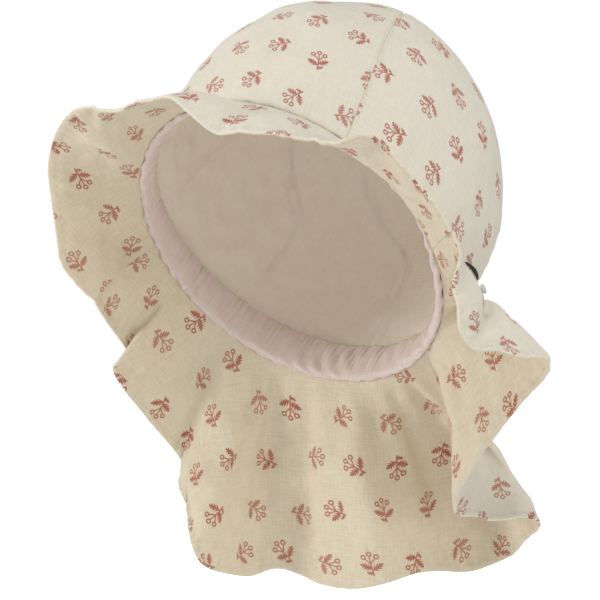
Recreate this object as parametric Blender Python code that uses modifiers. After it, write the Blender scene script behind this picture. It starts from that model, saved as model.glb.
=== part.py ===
"""A small child's cotton sun hat: four crown panels, a loose lining, a gathered inner band, a short
soft brim round the front and a long flared flap down the neck, in metres.

The hat is modelled in its own frame, with the middle of the rim at the origin, -Y to the front, +X to
the wearer's left and +Z along the crown. An empty then leans it back, as it is worn with the face
turned up, so that the flap hangs straight down under its own weight.
"""

import math
from collections import namedtuple

import bmesh
import bpy
from mathutils import Matrix, Vector

# Head opening and crown
HEAD_LENGTH = 0.170
HEAD_WIDTH = 0.156
CROWN_HEIGHT = 0.133
CROWN_SQUARENESS = 3.3
CROWN_ROUNDNESS = 2.3
CROWN_SWELL = 0.08
HALF_PANEL = 45.0
SEAM_LEAN = 15.0
LEAN_BACK = math.radians(50.0)

# Cloth
OUTER_CLOTH = 0.0012
LINING_CLOTH = 0.0010
SEAM_GAP = 0.0004
LAYER_GAP = 0.0009

# Lining and band
LINING_START = 0.012
BAND_FRONT_HEIGHT = 0.009
BAND_BACK_HEIGHT = 0.019
BAND_FULLNESS = 0.0020
BAND_ROLL = 0.0026
GATHERS = 44
GATHER_DEPTH = 0.0007

# Brim and flap
BRIM_WIDTH = 0.052
FLAP_LENGTH = 0.110
SIDE_SEAM_RIGHT = -90.0
SIDE_SEAM_LEFT = 92.0

# Tab and button
TAB_WIDTH = 0.0026
TAB_TIP_WIDTH = 0.0008
TAB_THICKNESS = 0.0010
TAB_ANGLES = (107.0, 125.0)
TAB_RISES = (0.017, 0.034)
BUTTON_RADIUS = 0.0022
BUTTON_HEIGHT = 0.0016
BUTTON_ANGLE = 113.0
BUTTON_DOWN = 0.52

# How finely each piece is cut
GORE_COLUMNS = 10
GORE_ROWS = 12
LINING_COLUMNS = 40
COLUMNS_PER_ROW = 4
PROFILE_STEPS = 6
SAMPLES_PER_GATHER = 4
TAB_COLUMNS = 6

# One fold or hollow of the brim or the flap, at an angle round the rim from the front. The cloth
# there reaches from BRIM_WIDTH (growth 0) to FLAP_LENGTH (growth 1). The hem and the shoulder, where
# the cloth turns down, are shares of that reach: out from the head, along the rim, up the crown.
Row = namedtuple("Row", "angle growth out along up shoulder_out shoulder_along shoulder_up")

RIGHT_SEAM_ROW = Row(SIDE_SEAM_RIGHT, 0.00, 0.20, 0.05, -0.85, 0.15, 0.10, -0.40)
LEFT_SEAM_ROW = Row(SIDE_SEAM_LEFT, 0.00, 0.55, -0.55, -0.40, 0.30, -0.30, -0.15)

BRIM_ROWS = [
    RIGHT_SEAM_ROW,
    Row(-81, 0.00, 0.40, 0.20, -0.85, 0.25, 0.00, -0.30),
    Row(-72, 0.00, 0.55, 0.25, -0.65, 0.30, 0.20, -0.40),
    Row(-60, 0.00, 0.75, 0.15, -0.40, 0.35, 0.15, -0.25),
    Row(-48, 0.00, 0.65, 0.60, -0.50, 0.35, 0.35, -0.45),
    Row(-18, 0.00, 0.50, 0.00, -0.60, 0.40, 0.10, -0.35),
    Row(2, 0.00, 0.55, -0.10, -0.65, 0.40, 0.05, -0.40),
    Row(18, 0.00, 0.35, -0.10, -0.80, 0.35, 0.00, -0.40),
    Row(44, 0.00, 0.60, -0.10, -0.65, 0.40, 0.00, -0.45),
    Row(62, 0.00, 0.70, -0.45, -0.40, 0.35, -0.10, -0.40),
    Row(78, 0.00, 0.60, -0.50, -0.40, 0.45, -0.30, -0.30),
    LEFT_SEAM_ROW,
]

FLAP_ROWS = [
    LEFT_SEAM_ROW,
    Row(100, 0.00, 0.50, -0.60, -0.45, 0.35, -0.35, -0.10),
    Row(108, 0.05, 0.35, -0.60, -0.55, 0.45, -0.40, 0.05),
    Row(112, 0.09, 0.35, -0.60, -0.60, 0.50, -0.45, 0.05),
    Row(116, 0.17, 0.35, -0.55, -0.65, 0.50, -0.40, 0.10),
    Row(119, 0.25, 0.40, -0.45, -0.60, 0.35, -0.20, 0.30),
    Row(122, 0.31, 0.50, -0.45, -0.45, 0.30, -0.30, 0.40),
    Row(124, 0.38, 0.60, -0.45, -0.35, 0.35, -0.30, 0.25),
    Row(127, 0.45, 0.70, -0.40, -0.20, 0.50, -0.30, 0.10),
    Row(132, 0.38, 0.65, -0.05, -0.40, 0.40, -0.10, -0.10),
    Row(137, 0.45, 0.65, 0.40, -0.60, 0.25, 0.15, -0.05),
    Row(143, 0.65, 0.80, 0.35, -0.35, 0.60, 0.50, 0.25),
    Row(151, 0.90, 0.95, 0.05, -0.15, 0.70, 0.20, 0.20),
    Row(162, 0.98, 1.00, 0.15, -0.20, 0.60, 0.20, 0.10),
    Row(173, 1.00, 0.80, -0.05, -0.40, 0.40, 0.00, -0.20),
    Row(186, 1.00, 0.70, -0.15, -0.60, 0.30, -0.10, -0.35),
    Row(201, 1.00, 0.70, -0.15, -0.55, 0.40, -0.05, -0.25),
    Row(209, 1.00, 0.70, -0.20, -0.65, 0.40, -0.05, -0.30),
    Row(217, 1.00, 0.50, -0.20, -0.80, 0.25, -0.10, -0.35),
    Row(225, 0.72, 0.50, -0.20, -0.70, 0.30, -0.05, -0.40),
    Row(231, 0.48, 0.55, -0.25, -0.60, 0.35, -0.10, -0.30),
    Row(238, 0.22, 0.55, -0.10, -0.70, 0.35, -0.10, -0.30),
    Row(249, 0.02, 0.50, 0.00, -0.85, 0.20, 0.05, -0.45),
    Row(257, 0.00, 0.50, -0.30, -0.60, 0.15, 0.00, -0.35),
    RIGHT_SEAM_ROW._replace(angle=360 + SIDE_SEAM_RIGHT),
]

# The band's cut from its roll under the rim to its top edge: how far it stands in from the lining as
# a share of its fullness, how far it hangs as a share of the roll, and how high it rises as a share
# of its height.
BandPoint = namedtuple("BandPoint", "fullness roll height")

BAND_PROFILE = [
    BandPoint(0.2, 1.0, 0.00),
    BandPoint(0.9, 0.4, 0.00),
    BandPoint(1.0, 0.0, 0.45),
    BandPoint(0.4, 0.0, 1.00),
]


def clear_scene():
    """Remove every object, so that the script gives the same model wherever it is run."""
    for item in list(bpy.data.objects):
        bpy.data.objects.remove(item, do_unlink=True)


def plain_material(name, colour, roughness):
    """A plain material with the piece's own colour and roughness."""
    material = bpy.data.materials.new(name)
    material.use_nodes = True
    shader = material.node_tree.nodes["Principled BSDF"]
    shader.inputs["Base Color"].default_value = (*colour, 1.0)
    shader.inputs["Roughness"].default_value = roughness
    shader.inputs["Metallic"].default_value = 0.0
    return material


def rim_axes(angle):
    """The directions out from the head and along the rim, at an angle in degrees from the front."""
    turn = math.radians(angle)
    return Vector((math.sin(turn), -math.cos(turn), 0)), Vector((math.cos(turn), math.sin(turn), 0))


def rim_point(angle, inset=0.0, height=0.0):
    """A point of the rim's oval, drawn in by inset and raised by height."""
    turn = math.radians(angle)
    across = HEAD_WIDTH / 2 - inset
    ahead = HEAD_LENGTH / 2 - inset
    return Vector((across * math.sin(turn), -ahead * math.cos(turn), height))


def crown_point(angle, share, inset=0.0):
    """A point of the crown's dome at a share of its height, on a shell drawn in by inset."""
    spread = (1 - share ** CROWN_SQUARENESS) ** (1 / CROWN_ROUNDNESS)
    spread *= 1 + CROWN_SWELL * math.sin(math.pi * share) * (1 - share)
    point = rim_point(angle, inset) * spread
    point.z = share * (CROWN_HEIGHT - inset)
    return point


def cloth_sheet(name, grid, closed, material, collection, tip=None):
    """An open sheet through a grid of points, one list for each column, facing along its winding.

    A closed grid joins its last column to its first, and a tip closes the far ends of the columns.
    """
    points = [point for column in grid for point in column]
    rows = len(grid[0])
    columns = len(grid)
    if tip:
        points.append(tip)
    faces = []
    for column in range(columns if closed else columns - 1):
        here = column * rows
        there = (column + 1) % columns * rows
        for row in range(rows - 1):
            faces.append((here + row, there + row, there + row + 1, here + row + 1))
        if tip:
            faces.append((here + rows - 1, there + rows - 1, len(points) - 1))
    mesh = bpy.data.meshes.new(name)
    mesh.from_pydata(points, [], faces)
    mesh.materials.append(material)
    mesh.shade_smooth()
    item = bpy.data.objects.new(name, mesh)
    collection.objects.link(item)
    return item


def give_wall(item, thickness, offset):
    """Turn an open sheet into a wall of cloth, behind it (-1), about it (0) or before it (1)."""
    wall = item.modifiers.new("Cloth", "SOLIDIFY")
    wall.thickness = thickness
    wall.offset = offset
    wall.use_rim = True


def dome_shares(first, steps):
    """Shares of the crown's height from first towards the top, closer where the dome turns over."""
    start = math.asin(first)
    return [math.sin(start + (math.pi / 2 - start) * step / steps) for step in range(steps)]


def crown_panel(name, middle, material, collection):
    """One of the four panels, a curved triangle of cloth from the rim to the tip of the crown."""
    shares = dome_shares(0.0, GORE_ROWS)
    grid = []
    for step in range(GORE_COLUMNS + 1):
        place = 2 * step / GORE_COLUMNS - 1
        column = []
        for share in shares:
            radius = crown_point(middle, share).xy.length
            half = HALF_PANEL - math.degrees(math.asin(SEAM_GAP / 2 / radius))
            column.append(crown_point(middle + half * place - SEAM_LEAN * share, share))
        grid.append(column)
    out, _ = rim_axes(middle - SEAM_LEAN)
    tip = out * (SEAM_GAP / 2 / math.sin(math.radians(HALF_PANEL)))
    tip.z = CROWN_HEIGHT
    panel = cloth_sheet(name, grid, False, material, collection, tip)
    give_wall(panel, OUTER_CLOTH, -1)


def crown_lining(material, collection):
    """The thin cap inside the crown, from behind the band up to the tip."""
    inset = OUTER_CLOTH + LAYER_GAP
    shares = dome_shares(LINING_START / CROWN_HEIGHT, GORE_ROWS)
    angles = [360 * step / LINING_COLUMNS for step in range(LINING_COLUMNS)]
    grid = [[crown_point(angle, share, inset) for share in shares] for angle in angles]
    tip = Vector((0, 0, CROWN_HEIGHT - inset))
    lining = cloth_sheet("crown_lining", grid, True, material, collection, tip)
    give_wall(lining, LINING_CLOTH, -1)


def toward_back(angle):
    """0 at the front of the rim, rising smoothly to 1 at the back."""
    return (1 - math.cos(math.radians(angle))) / 2


def sweatband(material, collection):
    """The gathered channel of cloth inside the rim, rolled under at its lower edge."""
    behind = OUTER_CLOTH + LINING_CLOTH + 2 * LAYER_GAP
    count = GATHERS * SAMPLES_PER_GATHER
    grid = []
    for step in range(count):
        angle = 360 * step / count
        pleat = GATHER_DEPTH * (1 - math.cos(2 * math.pi * step / SAMPLES_PER_GATHER)) / 2
        tall = BAND_FRONT_HEIGHT + (BAND_BACK_HEIGHT - BAND_FRONT_HEIGHT) * toward_back(angle)
        column = [rim_point(angle, OUTER_CLOTH, -OUTER_CLOTH - 2 * SEAM_GAP)]
        for point in BAND_PROFILE:
            inset = behind + BAND_FULLNESS * point.fullness + pleat
            column.append(rim_point(angle, inset, point.height * tall - point.roll * BAND_ROLL))
        grid.append(column)
    band = cloth_sheet("sweatband", grid, True, material, collection)
    give_wall(band, LINING_CLOTH, -1)


def blend_rows(before, first, second, after, share):
    """A smooth curve through the rows of a table, read between first and second."""
    values = []
    for a, b, c, d in zip(before, first, second, after):
        bend = 2 * a - 5 * b + 4 * c - d
        twist = 3 * (b - c) + d - a
        values.append(b + 0.5 * share * (c - a + share * (bend + share * twist)))
    return Row(*values)


def fine_rows(rows, steps):
    """The rows of a table with steps - 1 smooth ones added between each two."""
    result = []
    for place in range(len(rows) - 1):
        before = rows[max(place - 1, 0)]
        after = rows[min(place + 2, len(rows) - 1)]
        for step in range(steps):
            result.append(blend_rows(before, rows[place], rows[place + 1], after, step / steps))
    result.append(rows[-1])
    return result


def row_point(row, down):
    """A point of the brim or flap in one row, at a share of the way from the rim to the hem."""
    reach = BRIM_WIDTH + row.growth * (FLAP_LENGTH - BRIM_WIDTH)
    out, along = rim_axes(row.angle)
    root = rim_point(row.angle, 0.0, -OUTER_CLOTH / 2 - SEAM_GAP)
    shoulder = out * row.shoulder_out + along * row.shoulder_along
    shoulder.z = row.shoulder_up
    hem = out * row.out + along * row.along
    hem.z = row.up
    return root + reach * (2 * down * (1 - down) * shoulder + down * down * hem)


def skirt(name, rows, material, collection):
    """The brim or the flap: a sheet from the rim to the hem, with a seam's gap at either end."""
    fine = fine_rows(rows, COLUMNS_PER_ROW)
    seam = math.degrees(SEAM_GAP / HEAD_LENGTH)
    fine[0] = fine[0]._replace(angle=fine[0].angle + seam)
    fine[-1] = fine[-1]._replace(angle=fine[-1].angle - seam)
    downs = [step / PROFILE_STEPS for step in range(PROFILE_STEPS, -1, -1)]
    grid = [[row_point(row, down) for down in downs] for row in fine]
    sheet = cloth_sheet(name, grid, False, material, collection)
    give_wall(sheet, OUTER_CLOTH, 0)


def side_tab(material, collection):
    """A small tab of dark tape, narrow at both ends, that runs up the crown's side above the flap."""
    grid = []
    for step in range(TAB_COLUMNS + 1):
        share = step / TAB_COLUMNS
        angle = TAB_ANGLES[0] + (TAB_ANGLES[1] - TAB_ANGLES[0]) * share
        rise = TAB_RISES[0] + (TAB_RISES[1] - TAB_RISES[0]) * share
        low = crown_point(angle, rise / CROWN_HEIGHT, -SEAM_GAP)
        width = TAB_TIP_WIDTH + (TAB_WIDTH - TAB_TIP_WIDTH) * math.sin(math.pi * share)
        high = crown_point(angle, (rise + width) / CROWN_HEIGHT, -SEAM_GAP)
        grid.append([low, high])
    tab = cloth_sheet("side_tab", grid, False, material, collection)
    give_wall(tab, TAB_THICKNESS, 1)


def snap_button(material, collection):
    """The small round button on the flap's upper face, below the tab."""
    fine = fine_rows(FLAP_ROWS, COLUMNS_PER_ROW)
    place = min(range(1, len(fine) - 1), key=lambda index: abs(fine[index].angle - BUTTON_ANGLE))
    seat = row_point(fine[place], BUTTON_DOWN)
    along = row_point(fine[place + 1], BUTTON_DOWN) - row_point(fine[place - 1], BUTTON_DOWN)
    up = seat - row_point(fine[place], BUTTON_DOWN + 1 / PROFILE_STEPS)
    facing = along.cross(up).normalized()
    mesh = bpy.data.meshes.new("snap_button")
    shape = bmesh.new()
    bmesh.ops.create_cone(
        shape,
        cap_ends=True,
        segments=24,
        radius1=BUTTON_RADIUS,
        radius2=BUTTON_RADIUS,
        depth=BUTTON_HEIGHT,
    )
    shape.to_mesh(mesh)
    shape.free()
    mesh.materials.append(material)
    button = bpy.data.objects.new("snap_button", mesh)
    centre = seat + facing * (OUTER_CLOTH / 2 + SEAM_GAP + BUTTON_HEIGHT / 2)
    button.matrix_world = Matrix.Translation(centre) @ facing.to_track_quat("Z", "Y").to_matrix().to_4x4()
    edge = button.modifiers.new("Soft edge", "BEVEL")
    edge.width = BUTTON_HEIGHT / 4
    edge.segments = 2
    collection.objects.link(button)


def lean_back(collection):
    """The empty that leans the hat back, with every piece as its child."""
    pose = bpy.data.objects.new("worn_pose", None)
    pose.rotation_euler = (-LEAN_BACK, 0, 0)
    for item in list(collection.objects):
        item.parent = pose
    collection.objects.link(pose)


def main():
    """Build every piece of the hat."""
    clear_scene()
    hat = bpy.data.collections.new("sun_hat")
    bpy.context.scene.collection.children.link(hat)
    printed = plain_material("printed_cotton", (0.73, 0.66, 0.53), 0.85)
    crown_panel("crown_front", 0, printed, hat)
    crown_panel("crown_left", 90, printed, hat)
    crown_panel("crown_back", 180, printed, hat)
    crown_panel("crown_right", 270, printed, hat)
    crown_lining(plain_material("lining_cotton", (0.58, 0.47, 0.37), 0.9), hat)
    sweatband(plain_material("band_cotton", (0.62, 0.52, 0.48), 0.9), hat)
    skirt("front_brim", BRIM_ROWS, printed, hat)
    skirt("neck_flap", FLAP_ROWS, printed, hat)
    side_tab(plain_material("dark_tape", (0.02, 0.016, 0.014), 0.8), hat)
    snap_button(plain_material("pale_plastic", (0.55, 0.56, 0.54), 0.4), hat)
    lean_back(hat)


main()
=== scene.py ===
"""A small child's printed cotton sun hat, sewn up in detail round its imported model, in metres.

The hat is worked out in its own frame first, with the middle of the rim at the origin, -Y to the
front, +X to the wearer's left and +Z along the crown. Every point is then leaned back, as the hat is
worn with the face turned up.
"""

import logging
import math
from collections.abc import Iterable
from dataclasses import dataclass
from enum import Enum
from typing import NamedTuple

import bpy
import numpy as np
from bpy.types import ID, Material, Node, NodeSocket, NodeTree, Object
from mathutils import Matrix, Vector
from numpy import ndarray as Array


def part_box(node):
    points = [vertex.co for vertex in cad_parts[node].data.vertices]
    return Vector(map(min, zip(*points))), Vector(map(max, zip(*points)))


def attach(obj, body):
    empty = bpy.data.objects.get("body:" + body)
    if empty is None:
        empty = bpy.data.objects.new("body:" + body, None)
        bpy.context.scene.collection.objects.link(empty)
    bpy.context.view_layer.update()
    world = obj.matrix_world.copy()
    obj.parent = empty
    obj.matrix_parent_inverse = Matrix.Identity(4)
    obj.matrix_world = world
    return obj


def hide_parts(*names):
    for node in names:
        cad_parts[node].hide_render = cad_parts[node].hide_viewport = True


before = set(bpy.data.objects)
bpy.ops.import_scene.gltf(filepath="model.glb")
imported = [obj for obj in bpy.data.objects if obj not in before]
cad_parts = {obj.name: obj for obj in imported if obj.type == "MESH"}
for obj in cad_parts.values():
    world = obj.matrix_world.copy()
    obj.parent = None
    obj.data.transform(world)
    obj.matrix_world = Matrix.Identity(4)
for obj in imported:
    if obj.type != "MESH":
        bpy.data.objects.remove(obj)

LOG = logging.getLogger("sun_hat")
TIP = 0.9999999  # the crown's highest share, just short of 1
Colour = tuple[float, float, float]


class Hold(Enum):
    """How a piece of cloth is held in the finished hat."""

    STRETCHED = "stretched"
    GATHERED = "gathered"
    HUNG = "hung"


class Edge(Enum):
    """The four edges of a sheet's grid: two across its columns and two along them."""

    HEM = "hem"
    RIM = "rim"
    START = "start"
    END = "end"


class Face(Enum):
    """The two faces of a sheet of cloth, as a sign along its normals."""

    OUTER = 1.0
    INNER = -1.0


@dataclass(frozen=True)
class HatForm:
    """The oval of the head opening and the dome of the crown."""

    head_length: float = 0.170
    head_width: float = 0.156
    crown_height: float = 0.133
    squareness: float = 3.3
    roundness: float = 2.3
    swell: float = 0.08
    lean_back: float = 50.0
    seam_lean: float = 15.0

    def axes(self, angle: Array) -> tuple[Array, Array]:
        """Directions out from the head and along the rim.

        Args:
            angle: Degrees round the rim from the front, towards the wearer's left.

        Returns:
            Unit vectors out and along, one for each angle.
        """
        turn = np.radians(angle)
        flat = np.zeros_like(turn)
        out = np.stack([np.sin(turn), -np.cos(turn), flat], axis=-1)
        along = np.stack([np.cos(turn), np.sin(turn), flat], axis=-1)
        return out, along

    def rim(
        self, angle: Array, inset: Array | float = 0.0, height: Array | float = 0.0
    ) -> Array:
        """Points of the rim's oval, drawn in by inset and raised by height."""
        turn = np.radians(angle)
        across = (self.head_width / 2 - inset) * np.sin(turn)
        ahead = -(self.head_length / 2 - inset) * np.cos(turn)
        return np.stack([across, ahead, np.broadcast_to(height, turn.shape)], axis=-1)

    def crown(self, angle: Array, share: Array, inset: float = 0.0) -> Array:
        """Points of the dome at shares of its height, on a shell drawn in by inset."""
        spread = np.clip(1 - share ** self.squareness, 0, 1) ** (1 / self.roundness)
        spread = spread * (1 + self.swell * np.sin(np.pi * share) * (1 - share))
        points = self.rim(angle, inset) * spread[..., None]
        points[..., 2] = share * (self.crown_height - inset)
        return points

    def even_shares(self, first: float, last: float, count: int) -> Array:
        """Shares of the height that lie evenly along the dome's side.

        Args:
            first: The lowest share.
            last: The highest share, just under 1.
            count: How many shares.

        Returns:
            The shares, lowest first.
        """
        fine = np.sin(np.linspace(math.asin(first), math.asin(last), 4000))
        lengths = running_length(self.crown(np.full_like(fine, 90.0), fine))
        return np.interp(np.linspace(0, lengths[-1], count), lengths, fine)

    def worn(self, points: Array) -> Array:
        """The points leaned back as the hat is worn."""
        turn = math.radians(self.lean_back)
        turned = points.copy()
        turned[..., 1] = points[..., 1] * math.cos(turn) + points[..., 2] * math.sin(turn)
        turned[..., 2] = points[..., 2] * math.cos(turn) - points[..., 1] * math.sin(turn)
        return turned


def running_length(line: Array) -> Array:
    """The distance along a line of points from its first, at each point."""
    steps = np.linalg.norm(np.diff(line, axis=0), axis=-1)
    return np.concatenate([[0.0], np.cumsum(steps)])


def read_along(line: Array, lengths: Array, place: Array | float) -> Array:
    """The values of a line, one column each, at one or more distances along it."""
    return np.stack([np.interp(place, lengths, column) for column in line.T], axis=-1)


def degrees_from(start: Array | float, angle: Array) -> Array:
    """Degrees from start to angle, the short way round."""
    return (angle - start + 180) % 360 - 180


def smooth_step(low: float, high: float, value: Array) -> Array:
    """0 below low, 1 above high, and a smooth rise between."""
    share = np.clip((value - low) / (high - low), 0, 1)
    return share * share * (3 - 2 * share)


def soft_waves(points: Array, size: float, seed: int, count: int = 9) -> Array:
    """Smooth uneven waves through space, about -1 to 1, as in handled cloth.

    Args:
        points: Places to read, with the coordinates in the last axis.
        size: The usual width of a wave.
        seed: Which waves.
        count: How many waves are mixed.

    Returns:
        One height for each point.
    """
    dice = np.random.default_rng(seed)
    total = np.zeros(points.shape[:-1])
    for _ in range(count):
        heading = dice.normal(size=points.shape[-1])
        heading *= 2 * np.pi / size * dice.uniform(0.6, 1.4) / np.linalg.norm(heading)
        total += np.sin(points @ heading + dice.uniform(0, 2 * np.pi))
    return total / math.sqrt(count)


@dataclass
class ClothGrid:
    """A sheet of cloth as a grid of points, with its flat cut and its thickness.

    Columns run round the hat and rows run towards the crown, so that the normals face out.
    """

    points: Array
    cut: Array
    thickness: Array
    closed: bool = False

    def normals(self) -> Array:
        """The outward normal at every point of the grid."""
        if self.closed:
            across = np.roll(self.points, -1, axis=0) - np.roll(self.points, 1, axis=0)
        else:
            across = np.gradient(self.points, axis=0)
        up = np.gradient(self.points, axis=1)
        facing = np.cross(across, up)
        length = np.linalg.norm(facing, axis=-1, keepdims=True)
        return facing / np.maximum(length, 1e-12)

    def push(self, heights: Array) -> None:
        """Move every point along its normal."""
        self.points = self.points + self.normals() * heights[..., None]

    def face_points(self, face: Face) -> Array:
        """The points of one face of the cloth."""
        return self.points + self.normals() * (self.thickness[..., None] * face.value / 2)

    def inset_line(self, edge: Edge, distance: float, face: Face) -> tuple[Array, Array]:
        """A line on one face that runs along an edge at a distance from it.

        Args:
            edge: The edge that the line follows.
            distance: How far in from the edge, in metres.
            face: The face that it lies on.

        Returns:
            The line's points, and the normals of that face there.
        """
        both = np.concatenate([self.face_points(face), self.normals() * face.value], axis=-1)
        if edge is Edge.RIM:
            both = both[:, ::-1]
        elif edge is Edge.START:
            both = both.transpose(1, 0, 2)
        elif edge is Edge.END:
            both = both[::-1].transpose(1, 0, 2)
        line = []
        for strip in both:
            lengths = running_length(strip[:, :3])
            line.append(read_along(strip, lengths, min(distance, lengths[-1] / 2)))
        found = np.array(line)
        return found[:, :3], found[:, 3:]

    def flat_size(self) -> tuple[float, float, float]:
        """Width, length and area of the flat cut."""
        low = self.cut.reshape(-1, 2).min(axis=0)
        high = self.cut.reshape(-1, 2).max(axis=0)
        first = self.cut[1:, 1:] - self.cut[:-1, :-1]
        second = self.cut[:-1, 1:] - self.cut[1:, :-1]
        area = np.abs(first[..., 0] * second[..., 1] - first[..., 1] * second[..., 0]).sum() / 2
        return float(high[0] - low[0]), float(high[1] - low[1]), float(area)

    def build(self, name: str, form: HatForm, materials: list[Material]) -> Object:
        """Make the closed shell of the cloth, with its flat cut as a UV map in metres.

        Args:
            name: The object's name.
            form: The hat's form, which leans it back.
            materials: The outer face's material and the inner face's.

        Returns:
            The new object, in the scene.
        """
        columns, rows = self.thickness.shape
        shells = [form.worn(self.face_points(face)).reshape(-1, 3) for face in Face]
        spans = columns if self.closed else columns - 1
        column, row = np.meshgrid(np.arange(spans), np.arange(rows - 1), indexing="ij")
        quad = [(column + across, row + up) for across, up in ((0, 0), (1, 0), (1, 1), (0, 1))]
        front = np.stack([self._index(*place) for place in quad], axis=-1).reshape(-1, 4)
        front_cut = np.stack([self.cut[place] for place in quad], axis=-2).reshape(-1, 4, 2)
        count = columns * rows
        faces = [front, front[:, ::-1] + count]
        cuts = [front_cut, front_cut[:, ::-1]]
        for ring in self._border():
            here, there = (tuple(np.array(places).T) for places in (ring[:-1], ring[1:]))
            first, second = self._index(*here), self._index(*there)
            faces.append(np.stack([second, first, first + count, second + count], axis=-1))
            near, far = self.cut[here], self.cut[there]
            cuts.append(np.stack([far, near, near, far], axis=-2))
        item = add_mesh(name, np.concatenate(shells), np.concatenate(faces).tolist(), materials)
        layer = item.data.uv_layers.new(name="Cut")
        layer.data.foreach_set("uv", np.concatenate(cuts).reshape(-1).astype(np.float32))
        sides = np.zeros(len(item.data.polygons), dtype=np.int32)
        sides[len(front):2 * len(front)] = len(materials) - 1
        item.data.polygons.foreach_set("material_index", sides)
        return item

    def _index(self, column: Array, row: Array) -> Array:
        """The vertex numbers of grid places on the outer face."""
        columns, rows = self.thickness.shape
        return (column % columns) * rows + row

    def _border(self) -> list[list[tuple[int, int]]]:
        """The grid places round the sheet's open edges, each ring in the outer face's own turning."""
        columns, rows = self.thickness.shape
        if self.closed:
            low = [(column, 0) for column in range(columns + 1)]
            high = [(column, rows - 1) for column in range(columns, -1, -1)]
            return [low, high]
        ring = [(column, 0) for column in range(columns)]
        ring += [(columns - 1, row) for row in range(1, rows)]
        ring += [(column, rows - 1) for column in range(columns - 2, -1, -1)]
        ring += [(0, row) for row in range(rows - 2, -1, -1)]
        return [ring]


def add_mesh(
    name: str, points: Array, faces: list, materials: list[Material]
) -> Object:
    """Add a smooth mesh to the scene.

    Args:
        name: The object's name.
        points: Its vertices, as the hat is worn.
        faces: The vertex numbers of each face.
        materials: Its materials, in the order of their slots.

    Returns:
        The new object.
    """
    mesh = bpy.data.meshes.new(name)
    mesh.from_pydata(points.tolist(), [], faces)
    for material in materials:
        mesh.materials.append(material)
    mesh.shade_smooth()
    item = bpy.data.objects.new(name, mesh)
    bpy.context.scene.collection.objects.link(item)
    return item


def round_edge(distance: Array, thickness: float) -> Array:
    """The cloth's thickness near a free edge, which it rounds off."""
    share = np.clip(distance / (thickness * 0.6), 0, 1)
    return thickness * np.sqrt(np.clip(1 - (1 - share) ** 2, 0.02, 1))


@dataclass(frozen=True)
class Stitching:
    """A run of machine stitches in a plain thread."""

    pitch: float = 0.0027
    length: float = 0.0021
    radius: float = 0.00017
    sides: int = 6

    def sew(
        self,
        name: str,
        lines: list[tuple[Array, Array]],
        form: HatForm,
        material: Material,
    ) -> Object:
        """Lay stitches along lines on the cloth.

        Args:
            name: The object's name.
            lines: Points and normals of each line.
            form: The hat's form, which leans the stitches back.
            material: The thread's material.

        Returns:
            One object with every stitch of the run.
        """
        shares = np.array([0.0, 0.25, 0.75, 1.0])
        girths = np.array([0.55, 1.0, 1.0, 0.55])
        lifts = np.array([-1.3, 0.35, 0.35, -1.3]) * self.radius
        around = np.arange(self.sides) * 2 * np.pi / self.sides
        points, faces = [], []
        for line, facing in lines:
            lengths = running_length(line)
            for start in np.arange(self.pitch / 2, lengths[-1] - self.length, self.pitch):
                places = start + shares * self.length
                middle = read_along(line, lengths, places)
                up = read_along(facing, lengths, start)
                heading = middle[-1] - middle[0]
                across = np.cross(heading, up)
                across /= max(np.linalg.norm(across), 1e-12)
                base = len(points)
                for centre, girth, lift in zip(middle, girths, lifts):
                    for turn in around:
                        spoke = across * math.cos(turn) + up * math.sin(turn)
                        points.append(centre + up * lift + spoke * self.radius * girth)
                for ring in range(len(shares) - 1):
                    for side in range(self.sides):
                        here = base + ring * self.sides + side
                        beside = base + ring * self.sides + (side + 1) % self.sides
                        faces.append((here, beside, beside + self.sides, here + self.sides))
                last = base + (len(shares) - 1) * self.sides
                faces.append(tuple(range(base + self.sides - 1, base - 1, -1)))
                faces.append(tuple(range(last, last + self.sides)))
        return add_mesh(name, form.worn(np.array(points)), faces, [material])


class Fold(NamedTuple):
    """A fold or hollow of the brim or the flap, at one angle round the rim from the front.

    The cloth there reaches from the brim's width (growth 0) to the flap's length (growth 1). The hem
    and the shoulder, where the cloth turns down, are shares of that reach: out from the head, along
    the rim, and up the crown.
    """

    angle: float
    growth: float
    out: float
    along: float
    up: float
    shoulder_out: float
    shoulder_along: float
    shoulder_up: float


RIGHT_SEAM = Fold(-90, 0.00, 0.20, 0.05, -0.85, 0.15, 0.10, -0.40)
LEFT_SEAM = Fold(92, 0.00, 0.55, -0.55, -0.40, 0.30, -0.30, -0.15)

BRIM_FOLDS = [
    RIGHT_SEAM,
    Fold(-81, 0.00, 0.40, 0.20, -0.85, 0.25, 0.00, -0.30),
    Fold(-72, 0.00, 0.55, 0.25, -0.65, 0.30, 0.20, -0.40),
    Fold(-60, 0.00, 0.75, 0.15, -0.40, 0.35, 0.15, -0.25),
    Fold(-48, 0.00, 0.65, 0.60, -0.50, 0.35, 0.35, -0.45),
    Fold(-18, 0.00, 0.50, 0.00, -0.60, 0.40, 0.10, -0.35),
    Fold(2, 0.00, 0.55, -0.10, -0.65, 0.40, 0.05, -0.40),
    Fold(18, 0.00, 0.35, -0.10, -0.80, 0.35, 0.00, -0.40),
    Fold(44, 0.00, 0.60, -0.10, -0.65, 0.40, 0.00, -0.45),
    Fold(62, 0.00, 0.70, -0.45, -0.40, 0.35, -0.10, -0.40),
    Fold(78, 0.00, 0.60, -0.50, -0.40, 0.45, -0.30, -0.30),
    LEFT_SEAM,
]

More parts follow.
